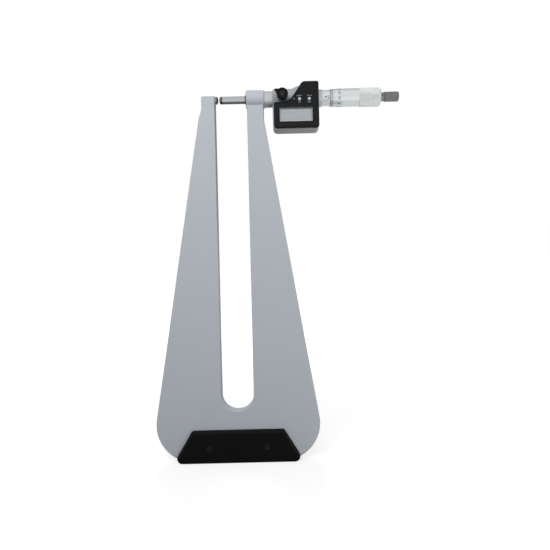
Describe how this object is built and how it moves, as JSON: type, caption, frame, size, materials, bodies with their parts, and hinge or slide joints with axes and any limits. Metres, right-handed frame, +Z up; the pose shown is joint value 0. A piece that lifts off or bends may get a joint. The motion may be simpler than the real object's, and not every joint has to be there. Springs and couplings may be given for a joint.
{
  "type": "sheet metal micrometer",
  "caption": "Digital outside micrometer on a tall deep-throat plate frame with heat-insulating foot grips, spindle lock, two keys, graduated thimble and ratchet stop",
  "frame": {"origin": "middle of the foot, the flat edge under the frame and its grips", "axes": "+Z up the throat to the spindle, +X along the spindle towards the ratchet, -Y out of the display"},
  "size_m": [0.2409, 0.0311, 0.3611],
  "materials": {
    "frame_paint": "satin blue-grey paint",
    "carbide": "lapped dark hard metal",
    "grip_plastic": "black moulded plastic",
    "black_screws": "blackened steel",
    "wiper_rubber": "black rubber",
    "ground_steel": "ground steel",
    "housing_metal": "satin grey metal",
    "bezel_plastic": "black moulded plastic",
    "window_clear": "clear window",
    "lcd_glass": "pale reflective display",
    "connector_rubber": "contact strip",
    "board_green": "green circuit board",
    "contact_metal": "plated spring metal",
    "button_plastic": "pale blue plastic",
    "battery_metal": "plated cell",
    "holder_plastic": "black plastic",
    "cap_plastic": "black moulded plastic",
    "lock_plastic": "glossy black",
    "lock_steel": "steel",
    "brass": "turned brass",
    "key_steel": "hard steel",
    "encoder_board": "etched disc",
    "satin_chrome": "satin chrome",
    "ratchet_steel": "dark satin steel"
  },
  "bodies": {
    "frame": {"frame": "frame_paint", "anvil": "ground_steel", "anvil_tip": "carbide", "front_grip": "grip_plastic", "front_grip_screws": "black_screws", "rear_grip": "grip_plastic", "rear_grip_screws": "black_screws", "spindle_wiper": "wiper_rubber", "head_stem": "ground_steel", "head_housing": "housing_metal", "front_bezel": "bezel_plastic", "case_screws": "black_screws", "lcd_window": "window_clear", "lcd_panel": "lcd_glass", "lcd_connector": "connector_rubber", "circuit_board": "board_green", "button_switches": "contact_metal", "battery": "battery_metal", "battery_holder": "holder_plastic", "battery_contact": "contact_metal", "lock_shoe": "brass", "rotor_spring": "contact_metal", "stator_disc": "encoder_board", "stator_spacer": "key_steel", "inner_sleeve": "ground_steel", "adjusting_nut": "ground_steel", "sleeve_collar": "satin_chrome", "sleeve": "satin_chrome"},
    "encoder_rotor": {"rotor_hub": "brass", "rotor_key": "key_steel", "rotor_disc": "encoder_board"},
    "spindle": {"spindle": "ground_steel", "spindle_tip": "carbide", "thimble": "satin_chrome", "ratchet_base": "ratchet_steel", "ratchet_screw": "ratchet_steel"},
    "ratchet": {"ratchet_knob": "ratchet_steel", "ratchet_clutch": "ratchet_steel", "ratchet_spring": "contact_metal", "ratchet_plug": "ratchet_steel"},
    "spindle_lock": {"lock_lever": "lock_plastic", "lock_screw": "lock_steel"},
    "set_button": {"set_button": "button_plastic"},
    "mode_button": {"mode_button": "button_plastic"},
    "battery_cap": {"battery_cap": "cap_plastic", "battery_seal": "wiper_rubber"}
  },
  "joints": [
    {"name": "thimble_turn", "type": "hinge", "parent": "frame", "child": "encoder_rotor", "pos_m": [0.061, 0, 0.3486], "axis": [1, 0, 0], "range_deg": [-1081, 16921]},
    {"name": "spindle_feed", "type": "slide", "parent": "encoder_rotor", "child": "spindle", "axis": [1, 0, 0], "range_m": [-0.0015, 0.0235]},
    {"name": "ratchet_slip", "type": "hinge", "parent": "spindle", "child": "ratchet", "pos_m": [0.155, 0, 0.3486], "axis": [1, 0, 0], "continuous": true},
    {"name": "lock_turn", "type": "hinge", "parent": "frame", "child": "spindle_lock", "pos_m": [0.0497, -0.0165, 0.3486], "axis": [0, 1, 0], "range_deg": [0, 50]},
    {"name": "set_button_press", "type": "slide", "parent": "frame", "child": "set_button", "axis": [0, 1, 0], "range_m": [0, 0.00035], "stiffness_N_per_m": 600, "springref_m": -0.0005},
    {"name": "mode_button_press", "type": "slide", "parent": "frame", "child": "mode_button", "axis": [0, 1, 0], "range_m": [0, 0.00035], "stiffness_N_per_m": 600, "springref_m": -0.0005},
    {"name": "battery_cap_turn", "type": "hinge", "parent": "frame", "child": "battery_cap", "pos_m": [0.056, 0.009, 0.328], "axis": [0, 1, 0], "range_deg": [0, 45]}
  ],
  "couplings": [
    {"joint": "thimble_turn", "follows": "spindle_feed", "rad_per_m": 12566}
  ]
}
